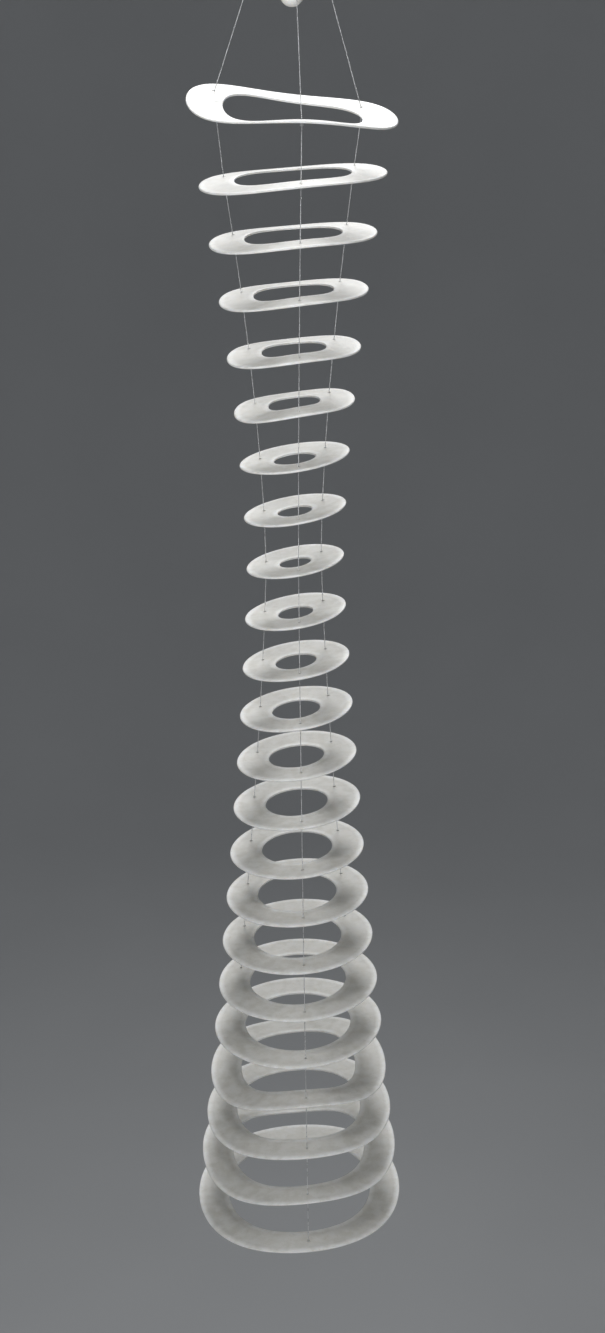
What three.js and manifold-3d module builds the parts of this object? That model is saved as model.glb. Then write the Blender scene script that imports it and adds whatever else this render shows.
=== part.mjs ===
// A hanging mobile: 23 thin white porcelain rings, one below the other, strung on three nylon cords.
// Millimetres, +Z up, front towards -Y. The origin is the inside top of the steel hanging ring,
// the place where a hook bears, so the whole mobile hangs below it.

import * as THREE from 'three';
import { mergeVertices } from 'three/addons/utils/BufferGeometryUtils.js';
import Module from 'manifold-3d';

const wasm = await Module();
wasm.setup();

// Rings: an hourglass of flat bands, all of one width
const RING_COUNT = 23;
const WAIST_RING = 9;
const TOP_RADIUS = 102.3;
const WAIST_RADIUS = 51;
const BOTTOM_RADIUS = 117.7;
const UPPER_FLARE_POWER = 1.65;
const LOWER_FLARE_POWER = 1.28;
const BAND_WIDTH = 35;
const RING_THICKNESS = 2;
const FACET_SAG = 0.5;
const MERGE_DISTANCE = 1e-4;

// How each ring hangs and is warped. Lean lifts its right side, nod its back and dish its outer rim,
// all in degrees. Rise lifts the whole ring, saddle its front and back, twist its back right and
// front left, and curl the places where its three cords hold it, all in millimetres. The curl is
// that of the outer rim, and it is weaker further in.
const LEAST_LEAN = 1.9;
const WAIST_LEAN = 7;
const LEAN_SPREAD = 5.7;
const NOD_PER_RING = 0.13;
const WAIST_DISH = 3;
const DISH_SPREAD = 5;
const UPPER_RINGS = 6;
const UPPER_WARP = { nod: 1, dish: -3.3, saddle: 1.2, twist: -0.5, curl: 1.6 };
const OWN_WARP = {
  1: { lean: -5.6, nod: 5.1, dish: 5.1, saddle: 1.4, twist: -2.7, curl: 4 },
  2: { rise: 0.9, lean: 4.1 },
  5: { rise: -1.1, lean: 5.3 },
  20: { rise: -3.4, dish: -1.7, saddle: 7, curl: 6 },
  21: { rise: -1.6, nod: 3, dish: -2.5, saddle: 2, curl: 3.4 },
  22: { rise: 3.2, nod: 2.7, saddle: -7, curl: 6.8 },
  23: { rise: -1.8, nod: 4.4, saddle: 1, curl: 3 },
};

// Cords: one in front and two at the back, with a stop knot under every ring
const CORD_AZIMUTHS = {
  cord_front: THREE.MathUtils.degToRad(-84),
  cord_back_right: THREE.MathUtils.degToRad(36),
  cord_back_left: THREE.MathUtils.degToRad(156),
};
const CORD_RADIUS = 0.4;
const CORD_SIDES = 5;
const CORD_HOLE_RADIUS = 1.5;
const CORD_HOLE_SIDES = 6;
const CORD_DRILL_LENGTH = 3 * RING_THICKNESS;
const STOP_KNOT_RADIUS = 2;
const STOP_KNOT_HALF_LENGTH = 1.6;
const CORD_TAIL = 5;
const CLEARANCE = 0.3;

// Hanging ring, and under it the knot that gathers the cords. The knot's profile is in shares of
// its radius and of its length, from its foot up.
const HANGING_RING_INNER_RADIUS = 10;
const HANGING_RING_SIDES = 18;
const HANGING_RING_WIRE_RADIUS = 1.1;
const HANGING_RING_WIRE_SIDES = 5;
const GATHER_KNOT_RADIUS = 3.2;
const GATHER_KNOT_LENGTH = 8;
const GATHER_KNOT_SIDES = 8;
const GATHER_KNOT_PROFILE = [[0, -1], [0.8, -1], [1, -0.65], [0.75, -0.2], [0.4, 0], [0, 0]];
const KNOT_LOOP_RADIUS = 3.4;
const KNOT_LOOP_SIDES = 10;
const KNOT_LOOP_WIRE_SIDES = 4;
const CORD_SPREAD_AT_KNOT = 1.9;
const KNOT_LOOP_LEVEL = CLEARANCE + CORD_RADIUS - 2 * HANGING_RING_INNER_RADIUS - KNOT_LOOP_RADIUS;
const GATHER_KNOT_BOTTOM = KNOT_LOOP_LEVEL - KNOT_LOOP_RADIUS - GATHER_KNOT_LENGTH;

// Levels of the rings, hung below the gathering knot
const TOP_RING_DROP = 228.1;
const TOP_RING_LEVEL = GATHER_KNOT_BOTTOM - TOP_RING_DROP;
const TOP_GAP = 60.7;
const RING_PITCH = 55.1;
const WAIST_SLACK = 7.2;
const SLACK_SPREAD = 7.7;

// A white bead on a short line of its own, inside the cone of cords
const BEAD_RADIUS = 11.5;
const BEAD_BORE_RADIUS = 1.2;
const BEAD_BORE_DEPTH = 9;
const BEAD_SIDES = 12;
const BEAD_HEIGHT_OVER_TOP_RING = 106.5;
const BEAD_LEVEL = TOP_RING_LEVEL + BEAD_HEIGHT_OVER_TOP_RING;

const WHITE_PORCELAIN = { color: 0xf1f1ea, roughness: 0.55, metalness: 0 };
const CLEAR_NYLON = { color: 0xb9bcbe, roughness: 0.3, metalness: 0 };
const STEEL = { color: 0xb4b6b8, roughness: 0.25, metalness: 1 };

function hump(number, centre, spread) {
  return Math.exp(-(((number - centre) / spread) ** 2));
}

function ringRadius(number) {
  if (number <= WAIST_RING) {
    const share = (WAIST_RING - number) / (WAIST_RING - 1);
    return WAIST_RADIUS + (TOP_RADIUS - WAIST_RADIUS) * share ** UPPER_FLARE_POWER;
  }
  const share = (number - WAIST_RING) / (RING_COUNT - WAIST_RING);
  return WAIST_RADIUS + (BOTTOM_RADIUS - WAIST_RADIUS) * share ** LOWER_FLARE_POWER;
}

// Even spacing, but the knots near the waist sit a little low
function ringLevel(number) {
  if (number === 1) {
    return TOP_RING_LEVEL;
  }
  const slack = WAIST_SLACK * hump(number, WAIST_RING, SLACK_SPREAD);
  return TOP_RING_LEVEL - TOP_GAP - (number - 2) * RING_PITCH - slack;
}

function describeRing(number) {
  const radius = ringRadius(number);
  const warp = {
    rise: 0,
    lean: LEAST_LEAN + WAIST_LEAN * hump(number, WAIST_RING, LEAN_SPREAD),
    nod: NOD_PER_RING * (number - 1),
    dish: WAIST_DISH * hump(number, WAIST_RING, DISH_SPREAD),
    saddle: 0,
    twist: 0,
    curl: 0,
    ...(number <= UPPER_RINGS ? UPPER_WARP : {}),
    ...OWN_WARP[number],
  };
  const middleRadius = radius - BAND_WIDTH / 2;
  return { number, radius, middleRadius, level: ringLevel(number) + warp.rise, ...warp };
}

const rings = Array.from({ length: RING_COUNT }, (_, index) => describeRing(index + 1));

function slope(degrees) {
  return Math.tan(THREE.MathUtils.degToRad(degrees));
}

// Height of a ring's middle surface above its own level
function surfaceHeight(ring, x, y) {
  const reach = Math.hypot(x, y);
  const azimuth = Math.atan2(y, x);
  const leaning = x * slope(ring.lean) + y * slope(ring.nod);
  const dishing = (reach - ring.middleRadius) * slope(ring.dish);
  const saddling = ring.saddle * Math.sin(azimuth) ** 2;
  const twisting = ring.twist * Math.sin(2 * azimuth);
  const curling = ring.curl * Math.cos(3 * (azimuth - CORD_AZIMUTHS.cord_front));
  return leaning + dishing + saddling + twisting + curling * (reach / ring.radius);
}

function namedMesh(name, geometry, finish) {
  const mesh = new THREE.Mesh(geometry, new THREE.MeshStandardMaterial(finish));
  mesh.name = name;
  return mesh;
}

// A geometry with only its merged positions, so that its faces join into one closed skin
function closedSkin(geometry) {
  geometry.deleteAttribute('normal');
  geometry.deleteAttribute('uv');
  return mergeVertices(geometry, MERGE_DISTANCE);
}

function toManifold(geometry) {
  const skin = closedSkin(geometry);
  const vertProperties = new Float32Array(skin.attributes.position.array);
  const triVerts = new Uint32Array(skin.index.array);
  return new wasm.Manifold(new wasm.Mesh({ numProp: 3, vertProperties, triVerts }));
}

function fromManifold(solid) {
  const { vertProperties, triVerts } = solid.getMesh();
  const geometry = new THREE.BufferGeometry();
  geometry.setAttribute('position', new THREE.BufferAttribute(new Float32Array(vertProperties), 3));
  geometry.setIndex(new THREE.BufferAttribute(new Uint32Array(triVerts), 1));
  return geometry;
}

// A profile of [radius, height] pairs turned about +Z
function turned(profile, sides) {
  const points = profile.map(([radius, height]) => new THREE.Vector2(radius, height));
  return new THREE.LatheGeometry(points, sides).rotateX(Math.PI / 2);
}

// Even number of sides whose flats stay within FACET_SAG of the true circle
function sidesForRadius(radius) {
  return 2 * Math.round(Math.PI / Math.acos(1 - FACET_SAG / radius) / 2);
}

function ringBlank(ring) {
  const inner = ring.radius - BAND_WIDTH;
  const outer = ring.radius;
  const half = RING_THICKNESS / 2;
  const corners = [[inner, -half], [outer, -half], [outer, half], [inner, half], [inner, -half]];
  const blank = turned(corners, sidesForRadius(outer));
  const position = blank.attributes.position;
  for (let i = 0; i < position.count; i += 1) {
    const x = position.getX(i);
    const y = position.getY(i);
    position.setZ(i, position.getZ(i) + surfaceHeight(ring, x, y));
  }
  return blank;
}

// Where a cord passes a ring: the middle of its band, at the cord's azimuth
function cordSeat(ring, azimuth) {
  const x = ring.middleRadius * Math.cos(azimuth);
  const y = ring.middleRadius * Math.sin(azimuth);
  return new THREE.Vector3(x, y, ring.level + surfaceHeight(ring, x, y));
}

// A cord's route from the gathering knot down, bent only in its stop knots, one under each ring
function cordRoute(azimuth) {
  const start = new THREE.Vector3(
    CORD_SPREAD_AT_KNOT * Math.cos(azimuth),
    CORD_SPREAD_AT_KNOT * Math.sin(azimuth),
    GATHER_KNOT_BOTTOM - CLEARANCE,
  );
  const knots = rings.map((ring) => cordSeat(ring, azimuth).setZ(knotLevel(ring, azimuth)));
  const lowest = knots.at(-1);
  const end = lowest.clone().setZ(lowest.z - STOP_KNOT_HALF_LENGTH - CORD_TAIL);
  return { points: [start, ...knots, end], knotLevels: knots.map((knot) => knot.z) };
}

function knotLevel(ring, azimuth) {
  return cordSeat(ring, azimuth).z - RING_THICKNESS / 2 - CLEARANCE - STOP_KNOT_HALF_LENGTH;
}

// The point of a route at a height, found between the two neighbours that hold that height
function pointAtLevel(points, level) {
  const held = THREE.MathUtils.clamp(level, points.at(-1).z, points[0].z);
  const next = points.findIndex((point, index) => index > 0 && point.z <= held);
  const above = points[next - 1];
  const below = points[next];
  return above.clone().lerp(below, (above.z - held) / (above.z - below.z));
}

// A cord turned as a straight line with its knots, then laid over to its route
function cordGeometry({ points, knotLevels }) {
  const top = points[0].z;
  const bottom = points.at(-1).z;
  const knots = [...knotLevels].reverse().flatMap((level) => [
    [CORD_RADIUS, level - STOP_KNOT_HALF_LENGTH],
    [STOP_KNOT_RADIUS, level],
    [CORD_RADIUS, level + STOP_KNOT_HALF_LENGTH],
  ]);
  const outline = [[0, bottom], [CORD_RADIUS, bottom], ...knots, [CORD_RADIUS, top], [0, top]];
  const cord = turned(outline, CORD_SIDES);
  const position = cord.attributes.position;
  for (let i = 0; i < position.count; i += 1) {
    const middle = pointAtLevel(points, position.getZ(i));
    position.setX(i, position.getX(i) + middle.x);
    position.setY(i, position.getY(i) + middle.y);
  }
  return closedSkin(cord);
}

// A drill standing where a cord crosses a ring's middle surface, in the ring's own frame
function cordHole(ring, azimuth) {
  const seat = cordSeat(ring, azimuth);
  const { x, y } = pointAtLevel(cordRoute(azimuth).points, seat.z);
  const drill = new THREE.CylinderGeometry(
    CORD_HOLE_RADIUS,
    CORD_HOLE_RADIUS,
    CORD_DRILL_LENGTH,
    CORD_HOLE_SIDES,
  );
  return drill.rotateX(Math.PI / 2).translate(x, y, seat.z - ring.level);
}

function porcelainRing(ring) {
  let solid = toManifold(ringBlank(ring));
  for (const azimuth of Object.values(CORD_AZIMUTHS)) {
    solid = solid.subtract(toManifold(cordHole(ring, azimuth)));
  }
  const name = `ring_${String(ring.number).padStart(2, '0')}`;
  const mesh = namedMesh(name, fromManifold(solid), WHITE_PORCELAIN);
  mesh.position.z = ring.level;
  return mesh;
}

// A closed wire ring about +Y
function wireRing(middleRadius, wireRadius, ringSides, wireSides) {
  const section = Array.from({ length: wireSides + 1 }, (_, index) => {
    const turn = (2 * Math.PI * index) / wireSides;
    return new THREE.Vector2(
      middleRadius + wireRadius * Math.cos(turn),
      wireRadius * Math.sin(turn),
    );
  });
  return new THREE.LatheGeometry(section, ringSides);
}

function hangingRing() {
  const wire = wireRing(
    HANGING_RING_INNER_RADIUS + HANGING_RING_WIRE_RADIUS,
    HANGING_RING_WIRE_RADIUS,
    HANGING_RING_SIDES,
    HANGING_RING_WIRE_SIDES,
  );
  const mesh = namedMesh('hanging_ring', closedSkin(wire), STEEL);
  mesh.position.z = -HANGING_RING_INNER_RADIUS;
  return mesh;
}

// The cords' ends tied in one knot, with a loop that passes through the hanging ring
function gatherKnot() {
  const loop = wireRing(KNOT_LOOP_RADIUS, CORD_RADIUS, KNOT_LOOP_SIDES, KNOT_LOOP_WIRE_SIDES);
  const profile = GATHER_KNOT_PROFILE.map(([reach, rise]) => [
    reach * GATHER_KNOT_RADIUS,
    rise * GATHER_KNOT_LENGTH,
  ]);
  const body = turned(profile, GATHER_KNOT_SIDES).translate(0, 0, -KNOT_LOOP_RADIUS);
  const solid = toManifold(loop.rotateZ(Math.PI / 2)).add(toManifold(body));
  const mesh = namedMesh('gather_knot', fromManifold(solid), CLEAR_NYLON);
  mesh.position.z = KNOT_LOOP_LEVEL;
  return mesh;
}

// A ball with a blind bore from above, in which its line is fixed
function centreBead() {
  const steps = BEAD_SIDES / 2;
  const mouth = Math.acos(BEAD_BORE_RADIUS / BEAD_RADIUS);
  const ball = Array.from({ length: steps + 1 }, (_, index) => {
    const turn = THREE.MathUtils.lerp(-Math.PI / 2, mouth, index / steps);
    return [BEAD_RADIUS * Math.cos(turn), BEAD_RADIUS * Math.sin(turn)];
  });
  const boreBottom = BEAD_RADIUS - BEAD_BORE_DEPTH;
  const outline = [...ball, [BEAD_BORE_RADIUS, boreBottom], [0, boreBottom]];
  const mesh = namedMesh('centre_bead', closedSkin(turned(outline, BEAD_SIDES)), WHITE_PORCELAIN);
  mesh.position.z = BEAD_LEVEL;
  return mesh;
}

function centreLine() {
  const points = [
    new THREE.Vector3(0, 0, GATHER_KNOT_BOTTOM - CLEARANCE),
    new THREE.Vector3(0, 0, BEAD_LEVEL + BEAD_RADIUS - BEAD_BORE_DEPTH + CLEARANCE),
  ];
  return namedMesh('centre_line', cordGeometry({ points, knotLevels: [] }), CLEAR_NYLON);
}

const mobile = new THREE.Group();
mobile.add(hangingRing(), gatherKnot(), centreLine(), centreBead());
for (const ring of rings) {
  mobile.add(porcelainRing(ring));
}
for (const [name, azimuth] of Object.entries(CORD_AZIMUTHS)) {
  mobile.add(namedMesh(name, cordGeometry(cordRoute(azimuth)), CLEAR_NYLON));
}

export default mobile;
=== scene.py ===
"""Looks of the hanging mobile: white porcelain rings on three nylon cords, under a small steel ring.

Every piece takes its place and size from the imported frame. Metres, +Z up, the front towards -Y.
"""

import math

import bmesh
import bpy
import numpy as np
from mathutils import Matrix, Vector


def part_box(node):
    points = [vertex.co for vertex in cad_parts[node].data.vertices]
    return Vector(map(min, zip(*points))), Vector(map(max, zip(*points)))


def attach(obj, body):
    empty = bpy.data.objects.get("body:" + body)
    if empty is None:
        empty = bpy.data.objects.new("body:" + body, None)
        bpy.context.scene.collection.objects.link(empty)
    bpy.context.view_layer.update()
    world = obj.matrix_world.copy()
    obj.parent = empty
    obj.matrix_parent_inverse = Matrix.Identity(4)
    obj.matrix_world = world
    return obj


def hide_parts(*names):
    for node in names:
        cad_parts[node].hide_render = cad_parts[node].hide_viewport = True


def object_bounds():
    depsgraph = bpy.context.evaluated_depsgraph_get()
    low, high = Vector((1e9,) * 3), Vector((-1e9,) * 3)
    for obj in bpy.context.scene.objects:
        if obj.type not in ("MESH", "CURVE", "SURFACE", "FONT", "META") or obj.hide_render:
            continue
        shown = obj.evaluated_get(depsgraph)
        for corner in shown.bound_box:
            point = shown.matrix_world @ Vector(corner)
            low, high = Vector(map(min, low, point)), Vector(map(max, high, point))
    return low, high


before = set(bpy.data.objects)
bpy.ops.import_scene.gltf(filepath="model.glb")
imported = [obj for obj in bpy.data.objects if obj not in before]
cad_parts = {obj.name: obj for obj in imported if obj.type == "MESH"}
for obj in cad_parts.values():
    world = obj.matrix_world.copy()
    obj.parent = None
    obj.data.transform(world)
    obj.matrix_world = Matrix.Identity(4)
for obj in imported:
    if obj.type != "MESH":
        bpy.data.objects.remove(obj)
CAD_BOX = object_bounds()

MM = 0.001
TURN = 2 * math.pi
RINGS = sorted(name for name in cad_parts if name.startswith("ring_"))
CORDS = ("cord_front", "cord_back_right", "cord_back_left")

# Reading the solids: the waves that their warps are made of, and how closely points are told apart
WARP_WAVES = (1, 2, 3)
RIM_DEPTH = 0.1 * MM
LEVEL_DIGITS = 5
POINT_DIGITS = 6

# Fine rings
RING_STEPS = 176
BAND_STEPS = 9
RIM_STEPS = 8
RIM_WOBBLE = 0.4 * MM
WOBBLE_WAVES = (2, 3, 5)
THICKNESS_SWELL = 0.07
HOLE_RADIUS = 1.5 * MM
HOLE_MOUTH = 0.35 * MM
HOLE_SIDES = 24
DRILL_REACH_IN_THICKNESSES = 2
SHARP_ANGLE = math.radians(32)

# Cords and their stop knots, whose two turns lie one over the other
CORD_SIDES = 12
TUCK = 1.5 * MM
KNOT_STEPS = 42
KNOT_SIDES = 8
KNOT_LEAST_REACH_IN_STRANDS = 2
TURN_RISE_IN_STRANDS = 1.8
UPPER_TURN_SHARE = 0.92

# Gathering knot: how wide it is at shares of its height, and the line whipped round it
KNOT_SHARES = (0.0, 0.35, 0.8, 1.0)
KNOT_WIDTHS = (0.8, 1.0, 0.75, 0.4)
WHIPPING_TURNS = 8
WHIPPING_STEPS = 30
WHIPPING_TAIL = Vector((0.8, 2.3, 0.8)) * MM

# Hanging ring and bead
WIRE_SIDES = 24
WIRE_STEPS = 144
WIRE_SEAM = math.radians(0.5)
BEAD_STEPS = 64
BEAD_UNEVENNESS = 0.012
BEAD_BORE_RADIUS = 1.2 * MM
BEAD_BORE_LEFT = 0.3 * MM

# Camera
CAMERA_PLACE = (0.007, -1.960, -0.1205)
CAMERA_PITCH = math.radians(-19.94)
CAMERA_ROLL = math.radians(-0.29)
CAMERA_LENS = 53.0

# Stage: a pale floor that turns up into a round wall
FLOOR_BELOW_MOBILE = 1.2
FLOOR_RADIUS = 3.6
COVE_RADIUS = 1.6
WALL_HEIGHT = 5.0
FLOOR_STEPS = 6
STAGE_STEPS = 96
COVE_STEPS = 12

# Lights: place, target, size across and power in watts
LIGHTS = {
    "top_light": ((-0.3, -0.75, 0.15), (0, 0, -0.4), 0.35, 3.8),
    "middle_light": ((-0.05, -0.4, -0.5), (0, 0, -0.85), 0.25, 0.22),
    "front_light": ((-0.2, -2.4, -0.8), (0, 0, -1.0), 1.0, 15),
    "right_light": ((1.6, -1.2, 0.3), (0, 0, -1.0), 0.8, 5),
    "back_light": ((0.05, 1.4, 0.6), (0, 0, -1.0), 0.9, 23),
}
FILL_COLOUR = (0.95, 0.97, 1.0, 1.0)
FILL_STRENGTH = 0.3

# A mix node has sockets for every kind of data: these are its factor and its colours
MIX_FACTOR = 0
MIX_FIRST_COLOUR = 6
MIX_SECOND_COLOUR = 7
MIX_RESULT_COLOUR = 2


# ---------------------------------------------------------------- reading the frame


def node_points(name):
    """The vertices of a CAD node, one row each."""
    return np.array([vertex.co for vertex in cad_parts[name].data.vertices], float)


def waves(azimuth):
    """The waves round a ring that its rims are made of, in the last axis."""
    azimuth = np.asarray(azimuth, float)
    columns = [np.ones_like(azimuth)]
    for number in WARP_WAVES:
        columns += [np.cos(number * azimuth), np.sin(number * azimuth)]
    return np.stack(columns, axis=-1)


def read_rim(points):
    """How strongly each wave is in a rim's middle height, and the ring's thickness there."""
    basis = waves(np.arctan2(points[:, 1], points[:, 0]))
    strengths = np.linalg.lstsq(basis, points[:, 2], rcond=None)[0]
    thickness = 2 * float(np.abs(points[:, 2] - basis @ strengths).mean())
    return strengths, thickness


def read_ring(name):
    """The radii, thickness and rim waves of a CAD ring."""
    points = node_points(name)
    reach = np.hypot(points[:, 0], points[:, 1])
    inner, outer = float(reach.min()), float(reach.max())
    inner_waves, _ = read_rim(points[reach < inner + RIM_DEPTH])
    outer_waves, thickness = read_rim(points[reach > outer - RIM_DEPTH])
    return {
        "inner": inner,
        "outer": outer,
        "thickness": thickness,
        "inner_waves": inner_waves,
        "outer_waves": outer_waves,
    }


def ring_height(ring, reach, azimuth):
    """The height of a ring's middle surface."""
    share = (reach - ring["inner"]) / (ring["outer"] - ring["inner"])
    basis = waves(azimuth)
    inner = basis @ ring["inner_waves"]
    outer = basis @ ring["outer_waves"]
    return inner + share * (outer - inner)


def read_cord(name):
    """The centre and radius of each cross-section of a CAD cord, from the top down."""
    sections = {}
    for point in node_points(name):
        sections.setdefault(round(point[2], LEVEL_DIGITS), []).append(point)
    cord = []
    for level in sorted(sections, reverse=True):
        section = np.unique(np.round(sections[level], POINT_DIGITS), axis=0)
        centre = section.mean(axis=0)
        radius = float(np.linalg.norm(section - centre, axis=1).max())
        cord.append((Vector(centre), radius))
    return cord


def cord_point(cord, level):
    """Where a cord is at a height, with its last stretch carried on below its end."""
    for (above, _), (below, _) in zip(cord, cord[1:]):
        if level > below.z:
            break
    return above.lerp(below, (above.z - level) / (above.z - below.z))


# ---------------------------------------------------------------- materials


class Shading:
    """A procedural material in the making: its node tree and its Principled shader."""

    def __init__(self, name):
        self.material = bpy.data.materials.new(name)
        self.material.use_nodes = True
        self.tree = self.material.node_tree
        self.shader = self.tree.nodes["Principled BSDF"]
        self.place = self.node("ShaderNodeTexCoord").outputs["Object"]

    def node(self, kind, **settings):
        node = self.tree.nodes.new(kind)
        for name, value in settings.items():
            setattr(node, name, value)
        return node

    def link(self, output, target):
        self.tree.links.new(output, target)

    def set(self, **values):
        """Sets plain values on the shader, each named as its socket with _ for a space."""
        for name, value in values.items():
            self.shader.inputs[name.replace("_", " ")].default_value = value

    def feed(self, name, output):
        self.link(output, self.shader.inputs[name])

    def noise(self, scale, detail=4.0):
        """Noise in the piece's own coordinates, finer where the scale is larger."""
        noise = self.node("ShaderNodeTexNoise")
        noise.inputs["Scale"].default_value = scale
        noise.inputs["Detail"].default_value = detail
        self.link(self.place, noise.inputs["Vector"])
        return noise.outputs["Fac"]

    def attribute(self, name):
        """A number stored on the mesh."""
        return self.node("ShaderNodeAttribute", attribute_name=name).outputs["Fac"]

    def ramp(self, value, stops):
        """Colours laid along a value, given as (value, colour) stops."""
        ramp = self.node("ShaderNodeValToRGB")
        elements = ramp.color_ramp.elements
        while len(elements) < len(stops):
            elements.new(0.5)
        for element, (position, colour) in zip(elements, stops):
            element.position = position
            element.color = (*colour, 1.0)
        self.link(value, ramp.inputs["Fac"])
        return ramp.outputs["Color"]

    def spread(self, value, low, high):
        """The middle part of a noise spread from low to high."""
        spread = self.node("ShaderNodeMapRange")
        for name, number in zip(("From Min", "From Max", "To Min", "To Max"), (0.3, 0.7, low, high)):
            spread.inputs[name].default_value = number
        self.link(value, spread.inputs["Value"])
        return spread.outputs["Result"]

    def multiply(self, first, second):
        """Two colours multiplied."""
        mix = self.node("ShaderNodeMix", data_type="RGBA", blend_type="MULTIPLY")
        mix.inputs[MIX_FACTOR].default_value = 1.0
        self.link(first, mix.inputs[MIX_FIRST_COLOUR])
        self.link(second, mix.inputs[MIX_SECOND_COLOUR])
        return mix.outputs[MIX_RESULT_COLOUR]

    def bump(self, height, strength, distance, under=None):
        """The surface normal tilted by a height, over another bump if one is given."""
        bump = self.node("ShaderNodeBump")
        bump.inputs["Strength"].default_value = strength
        bump.inputs["Distance"].default_value = distance
        self.link(height, bump.inputs["Height"])
        if under is not None:
            self.link(under, bump.inputs["Normal"])
        return bump.outputs["Normal"]


def porcelain_material():
    """Unglazed white porcelain: cloudy, with a painted highlight that makes its rims pale and painted
    shade across the middle of the band, which is also a little warmer; smooth on its rims.
    """
    shading = Shading("white_porcelain")
    # Painted light: the rim colour is a painted highlight on the rims, and the darker, slightly warmer
    # body colour is painted shade across the middle of the band
    rim = (0.96, 0.96, 0.945)
    body = (0.74, 0.735, 0.705)
    across = shading.ramp(
        shading.attribute("band"),
        [(0.05, rim), (0.20, body), (0.80, body), (0.94, rim)],
    )
    clouds = shading.noise(90.0, detail=6.0)
    cloud_tint = shading.ramp(clouds, [(0.36, (0.87, 0.865, 0.84)), (0.60, (1.0, 1.0, 1.0))])
    specks = shading.noise(520.0, detail=2.0)
    speck_tint = shading.ramp(specks, [(0.25, (0.88, 0.85, 0.79)), (0.36, (1.0, 1.0, 1.0))])
    colour = shading.multiply(shading.multiply(across, cloud_tint), speck_tint)
    shading.feed("Base Color", colour)
    shading.feed("Roughness", shading.spread(clouds, 0.42, 0.58))
    ripples = shading.bump(shading.noise(70.0, detail=3.0), 0.5, 0.8 * MM)
    grain = shading.noise(1400.0, detail=3.0)
    shading.feed("Normal", shading.bump(grain, 0.25, 0.12 * MM, under=ripples))
    shading.set(Subsurface_Weight=0.25, Subsurface_Scale=3 * MM, Specular_IOR_Level=0.45)
    shading.shader.inputs["Subsurface Radius"].default_value = (1.0, 0.85, 0.7)
    return shading.material


def nylon_material():
    """Clear nylon line gone a little milky, with a faint lengthwise draw."""
    shading = Shading("nylon_line")
    milk = shading.noise(180.0, detail=3.0)
    milky = shading.ramp(milk, [(0.3, (0.70, 0.71, 0.72)), (0.7, (0.84, 0.85, 0.86))])
    shading.feed("Base Color", milky)
    shading.feed("Roughness", shading.spread(milk, 0.22, 0.36))
    shading.feed("Normal", shading.bump(shading.noise(2600.0, detail=2.0), 0.2, 0.05 * MM))
    shading.set(Transmission_Weight=0.35, IOR=1.53)
    return shading.material


def steel_material():
    """Drawn steel wire: satin, with fine scratches and duller patches."""
    shading = Shading("steel_wire")
    patches = shading.noise(260.0)
    metal = shading.ramp(patches, [(0.3, (0.44, 0.44, 0.45)), (0.7, (0.62, 0.62, 0.63))])
    shading.feed("Base Color", metal)
    shading.feed("Roughness", shading.spread(patches, 0.20, 0.38))
    shading.feed("Normal", shading.bump(shading.noise(3200.0, detail=2.0), 0.15, 0.05 * MM))
    shading.set(Metallic=1.0)
    return shading.material


def paper_material():
    """Plain pale studio paper."""
    shading = Shading("studio_paper")
    mottle = shading.noise(1.5, detail=2.0)
    paper = shading.ramp(mottle, [(0.3, (0.46, 0.47, 0.48)), (0.7, (0.49, 0.50, 0.51))])
    shading.feed("Base Color", paper)
    shading.set(Roughness=0.9)
    return shading.material


# ---------------------------------------------------------------- mesh helpers


def make_piece(name, vertices, faces, material):
    """A smooth closed mesh with all its faces turned outwards."""
    mesh = bpy.data.meshes.new(name)
    mesh.from_pydata([tuple(vertex) for vertex in vertices], [], faces)
    mesh.materials.append(material)
    mesh.shade_smooth()
    shape = bmesh.new()
    shape.from_mesh(mesh)
    bmesh.ops.recalc_face_normals(shape, faces=shape.faces)
    shape.to_mesh(mesh)
    shape.free()
    piece = bpy.data.objects.new(name, mesh)
    bpy.context.scene.collection.objects.link(piece)
    return piece


def stand_in_for(piece, node):
    """The piece rides with the mobile and replaces its CAD node."""
    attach(piece, "root")
    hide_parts(node)


def loop_faces(rows, sides, closed=False):
    """Quads between neighbouring rows of a grid of vertices, where each row is a closed loop."""
    faces = []
    for row in range(rows if closed else rows - 1):
        here = row * sides
        there = (row + 1) % rows * sides
        for side in range(sides):
            after = (side + 1) % sides
            faces.append((here + side, here + after, there + after, there + side))
    return faces


def capped_faces(rows, sides):
    """The faces of an open grid of loops, with a flat cap at either end."""
    first = tuple(range(sides))
    last = tuple(range((rows - 1) * sides, rows * sides))
    return [*loop_faces(rows, sides), first, last]


def tube(path, radii, sides, closed=False):
    """A tube along a path, its cross-section carried along without twisting."""
    path = [Vector(point) for point in path]
    last = len(path) - 1
    across = None
    vertices = []
    for i, (point, radius) in enumerate(zip(path, radii)):
        before = path[i - 1] if closed or i > 0 else point
        after = path[(i + 1) % len(path)] if closed or i < last else point
        along = (after - before).normalized()
        across = along.orthogonal() if across is None else across - along * across.dot(along)
        across.normalize()
        beside = along.cross(across)
        for side in range(sides):
            angle = TURN * side / sides
            vertices.append(point + radius * (math.cos(angle) * across + math.sin(angle) * beside))
    faces = loop_faces(len(path), sides, closed=True) if closed else capped_faces(len(path), sides)
    return vertices, faces


def turned(profile, steps, uneven=0.0):
    """A profile of (radius, height) pairs turned about +Z, and made slightly uneven in three places."""
    vertices = []
    for radius, height in profile:
        for step in range(steps):
            azimuth = TURN * step / steps
            reach = radius * (1 + uneven * math.sin(3 * azimuth))
            vertices.append(Vector((reach * math.cos(azimuth), reach * math.sin(azimuth), height)))
    return vertices, capped_faces(len(profile), steps)


def joined(*parts):
    """Several lists of vertices and faces as one."""
    vertices, faces = [], []
    for part_vertices, part_faces in parts:
        start = len(vertices)
        vertices += part_vertices
        faces += [tuple(start + index for index in face) for face in part_faces]
    return vertices, faces


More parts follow.
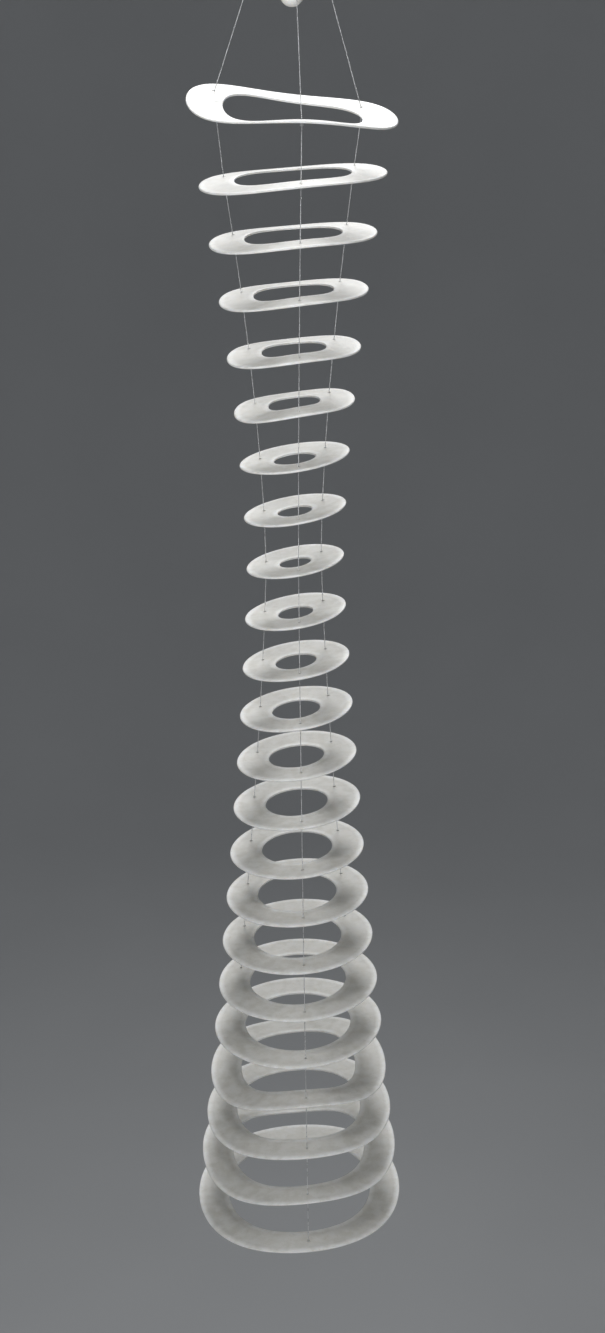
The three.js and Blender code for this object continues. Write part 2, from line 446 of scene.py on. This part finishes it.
def cut(piece, cutter):
    """Cuts a piece by another, which is used up."""
    modifier = piece.modifiers.new("cut", "BOOLEAN")
    modifier.operation = "DIFFERENCE"
    modifier.solver = "EXACT"
    modifier.object = cutter
    graph = bpy.context.evaluated_depsgraph_get()
    result = bpy.data.meshes.new_from_object(piece.evaluated_get(graph))
    piece.modifiers.clear()
    piece.data = result
    bpy.data.objects.remove(cutter)


# ---------------------------------------------------------------- rings


def band_profile(half):
    """The ring's cross-section as (share across the band, way out, way up), with full-round rims."""
    shares = np.linspace(0, 1, BAND_STEPS + 1)
    turns = np.pi * np.arange(1, RIM_STEPS) / RIM_STEPS
    upper = [(share, 0.0, half) for share in shares]
    outer_rim = [(1.0, half * math.sin(turn), half * math.cos(turn)) for turn in turns]
    lower = [(share, 0.0, -half) for share in reversed(shares)]
    inner_rim = [(0.0, -half * math.sin(turn), -half * math.cos(turn)) for turn in turns]
    return np.array([*upper, *outer_rim, *lower, *inner_rim])


def wobble(azimuth, phases):
    """A slow unevenness, as of an edge cut by hand, from about -1 to 1."""
    return sum(np.sin(number * azimuth + phase) / number for number, phase in zip(WOBBLE_WAVES, phases))


def fine_ring(name, cords, material):
    """A ring with round rims, cut a little unevenly by hand, with drilled and softened cord holes."""
    ring = read_ring(name)
    random = np.random.default_rng(RINGS.index(name))
    phases = random.uniform(0, TURN, (3, len(WOBBLE_WAVES)))
    half = ring["thickness"] / 2
    share, out, up = band_profile(half).T
    azimuth = TURN * np.arange(RING_STEPS)[:, None] / RING_STEPS
    inner = ring["inner"] + half + RIM_WOBBLE * wobble(azimuth, phases[0])
    outer = ring["outer"] - half + RIM_WOBBLE * wobble(azimuth, phases[1])
    reach = inner + share * (outer - inner) + out
    rise = up * (1 + THICKNESS_SWELL * wobble(azimuth, phases[2]))
    height = ring_height(ring, reach, np.broadcast_to(azimuth, reach.shape)) + rise
    rows = np.stack([reach * np.cos(azimuth), reach * np.sin(azimuth), height], axis=-1)
    faces = loop_faces(RING_STEPS, len(share), closed=True)
    piece = make_piece(name + "_fine", rows.reshape(-1, 3), faces, material)
    drills = [cord_drill(ring, cord) for cord in cords]
    cut(piece, make_piece("drills", *joined(*drills), material))
    mark_band(piece, ring)
    piece.data.set_sharp_from_angle(angle=SHARP_ANGLE)
    return piece


def cord_drill(ring, cord):
    """A drill where a cord crosses a ring, flared to soften the hole's two mouths."""
    mean_level = (ring["inner_waves"][0] + ring["outer_waves"][0]) / 2
    near = cord_point(cord, mean_level)
    level = float(ring_height(ring, math.hypot(near.x, near.y), math.atan2(near.y, near.x)))
    centre = cord_point(cord, level)
    straight = ring["thickness"] / 2 - HOLE_MOUTH
    far = DRILL_REACH_IN_THICKNESSES * ring["thickness"]
    flare = HOLE_RADIUS + far - straight
    path = [centre + Vector((0, 0, rise)) for rise in (far, straight, -straight, -far)]
    return tube(path, [flare, HOLE_RADIUS, HOLE_RADIUS, flare], HOLE_SIDES)


def mark_band(piece, ring):
    """Stores on each vertex how far across the band it is, from 0 at the inner rim to 1 at the outer."""
    reach = np.array([math.hypot(vertex.co.x, vertex.co.y) for vertex in piece.data.vertices])
    share = np.clip((reach - ring["inner"]) / (ring["outer"] - ring["inner"]), 0, 1)
    # The porcelain reads this share to paint a highlight on the rims and shade across the middle of the
    # band
    attribute = piece.data.attributes.new("band", "FLOAT", "POINT")
    attribute.data.foreach_set("value", share.astype(np.float32))


# ---------------------------------------------------------------- cords and fittings


def strand_radius(cord):
    """How thick a cord's line is, away from its knots, as a radius."""
    return min(radius for _, radius in cord)


def trefoil(centre, reach, strand, start):
    """One overhand turn of line, drawn tight round the cord."""
    spacing = (reach - strand) / 3
    path = []
    for step in range(KNOT_STEPS):
        angle = TURN * step / KNOT_STEPS
        x = math.sin(angle) + 2 * math.sin(2 * angle)
        y = math.cos(angle) - 2 * math.cos(2 * angle)
        turn = Vector((spacing * x, spacing * y, -strand * math.sin(3 * angle)))
        turn.rotate(Matrix.Rotation(start, 3, "Z"))
        path.append(centre + turn)
    return tube(path, [strand] * KNOT_STEPS, KNOT_SIDES, closed=True)


def fine_cord(name, cord, material):
    """A round line on its CAD route, with a double overhand knot at each stop knot."""
    strand = strand_radius(cord)
    path = [centre for centre, _ in cord]
    path[0] = path[0] + Vector((0, 0, TUCK))
    parts = [tube(path, [strand] * len(path), CORD_SIDES)]
    for number, (centre, reach) in enumerate(cord):
        if reach > KNOT_LEAST_REACH_IN_STRANDS * strand:
            rise = Vector((0, 0, TURN_RISE_IN_STRANDS * strand))
            parts.append(trefoil(centre + rise, UPPER_TURN_SHARE * reach, strand, number))
            parts.append(trefoil(centre - rise, reach, strand, number + 1))
    return make_piece(name + "_fine", *joined(*parts), material)


def fine_centre_line(material):
    """The bead's own line, from inside the gathering knot down into the bead."""
    cord = read_cord("centre_line")
    strand = strand_radius(cord)
    path = [centre for centre, _ in cord]
    path[0] = path[0] + Vector((0, 0, TUCK))
    return make_piece("centre_line_fine", *tube(path, [strand] * len(path), CORD_SIDES), material)


def fine_gather_knot(strand, material):
    """The cords' gathered ends whipped with line, under a loop that goes through the hanging ring."""
    low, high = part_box("gather_knot")
    loop_radius = high.y - strand
    loop_level = high.z - strand - loop_radius
    loop = []
    for step in range(KNOT_STEPS):
        angle = TURN * step / KNOT_STEPS
        aside, above = loop_radius * math.sin(angle), loop_radius * math.cos(angle)
        loop.append(Vector((0, aside, loop_level + above)))
    length = loop_level - loop_radius - low.z
    widths = [high.x * width - strand for width in KNOT_WIDTHS]
    levels = [low.z + share * length for share in KNOT_SHARES]
    core = turned(list(zip(widths, levels)), WIRE_SIDES)
    whipping = []
    last = WHIPPING_TURNS * WHIPPING_STEPS
    for step in range(last + 1):
        share = step / last
        angle = TURN * step / WHIPPING_STEPS
        reach = float(np.interp(share, KNOT_SHARES, widths))
        height = low.z + strand + share * (length - 2 * strand)
        whipping.append(Vector((reach * math.cos(angle), reach * math.sin(angle), height)))
    whipping.append(whipping[-1] + WHIPPING_TAIL)
    parts = [
        tube(loop, [strand] * len(loop), KNOT_SIDES, closed=True),
        core,
        tube(whipping, [strand] * len(whipping), KNOT_SIDES),
    ]
    return make_piece("gather_knot_fine", *joined(*parts), material)


def fine_hanging_ring(material):
    """A ring bent from steel wire, its two ends meeting in a narrow seam at the side."""
    low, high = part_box("hanging_ring")
    # The hook bears at the origin, so only the wire's own thickness rises above it
    wire = high.z / 2
    radius = (high.z - low.z) / 2 - wire
    centre = (high.z + low.z) / 2
    path = []
    for step in range(WIRE_STEPS + 1):
        angle = WIRE_SEAM / 2 + (TURN - WIRE_SEAM) * step / WIRE_STEPS
        path.append(Vector((radius * math.cos(angle), 0, centre + radius * math.sin(angle))))
    piece = make_piece("hanging_ring_fine", *tube(path, [wire] * len(path), WIRE_SIDES), material)
    piece.data.set_sharp_from_angle(angle=SHARP_ANGLE)
    return piece


def fine_bead(material):
    """A slightly uneven ball with a bore from above for its line."""
    low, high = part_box("centre_bead")
    radius = (high.z - low.z) / 2
    centre = (high.z + low.z) / 2
    bore_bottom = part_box("centre_line")[0].z - BEAD_BORE_LEFT - centre
    mouth = math.acos(BEAD_BORE_RADIUS / radius)
    turns = np.linspace(-math.pi / 2, mouth, BEAD_STEPS // 2)[1:]
    ball = [(radius * math.cos(turn), radius * math.sin(turn)) for turn in turns]
    profile = [*ball, (BEAD_BORE_RADIUS, bore_bottom)]
    piece = make_piece("centre_bead_fine", *turned(profile, BEAD_STEPS, uneven=BEAD_UNEVENNESS), material)
    piece.data.transform(Matrix.Translation((0, 0, centre)))
    piece.data.set_sharp_from_angle(angle=SHARP_ANGLE)
    return piece


# ---------------------------------------------------------------- stage, light and camera


def studio_floor(material):
    """A pale floor that turns up into a round wall, well clear of the mobile on every side."""
    level = CAD_BOX[0][2] - FLOOR_BELOW_MOBILE
    profile = [(FLOOR_RADIUS * step / FLOOR_STEPS, level) for step in range(1, FLOOR_STEPS + 1)]
    for step in range(1, COVE_STEPS + 1):
        turn = math.pi / 2 * step / COVE_STEPS
        reach = FLOOR_RADIUS + COVE_RADIUS * math.sin(turn)
        profile.append((reach, level + COVE_RADIUS * (1 - math.cos(turn))))
    profile.append((FLOOR_RADIUS + COVE_RADIUS, level + COVE_RADIUS + WALL_HEIGHT))
    vertices, faces = turned(profile, STAGE_STEPS)
    floor = make_piece("studio_floor", vertices, faces[:-1], material)


def soft_light(name, place, target, size, power):
    """A round soft light turned to a target."""
    data = bpy.data.lights.new(name, "AREA")
    data.shape = "DISK"
    data.size = size
    data.energy = power
    light = bpy.data.objects.new(name, data)
    light.location = place
    light.rotation_euler = (Vector(target) - Vector(place)).to_track_quat("-Z", "Y").to_euler()
    light.visible_camera = False
    bpy.context.scene.collection.objects.link(light)


def studio_world():
    """An even pale fill from all round."""
    world = bpy.data.worlds.new("studio_world")
    world.use_nodes = True
    background = world.node_tree.nodes["Background"]
    background.inputs["Color"].default_value = FILL_COLOUR
    background.inputs["Strength"].default_value = FILL_STRENGTH
    bpy.context.scene.world = world


def studio_camera():
    """The camera that sees the mobile as the reference picture does."""
    data = bpy.data.cameras.new("camera")
    data.lens = CAMERA_LENS
    camera = bpy.data.objects.new("camera", data)
    tilt = Matrix.Rotation(math.pi / 2 + CAMERA_PITCH, 4, "X")
    roll = Matrix.Rotation(CAMERA_ROLL, 4, "Z")
    camera.matrix_world = Matrix.Translation(CAMERA_PLACE) @ tilt @ roll
    bpy.context.scene.collection.objects.link(camera)
    bpy.context.scene.camera = camera


# ---------------------------------------------------------------- the scene


def build_mobile():
    """Every fine piece, each in the place of its CAD node."""
    porcelain = porcelain_material()
    nylon = nylon_material()
    cords = {name: read_cord(name) for name in CORDS}
    strand = strand_radius(cords["cord_front"])
    for name in RINGS:
        stand_in_for(fine_ring(name, cords.values(), porcelain), name)
    for name, cord in cords.items():
        stand_in_for(fine_cord(name, cord, nylon), name)
    stand_in_for(fine_centre_line(nylon), "centre_line")
    stand_in_for(fine_gather_knot(strand, nylon), "gather_knot")
    stand_in_for(fine_hanging_ring(steel_material()), "hanging_ring")
    stand_in_for(fine_bead(porcelain), "centre_bead")


def build_studio():
    """The plain studio round the mobile."""
    bpy.context.scene.view_settings.view_transform = "Standard"
    studio_floor(paper_material())
    studio_world()
    for name, (place, target, size, power) in LIGHTS.items():
        soft_light(name, place, target, size, power)
    studio_camera()


build_mobile()
build_studio()
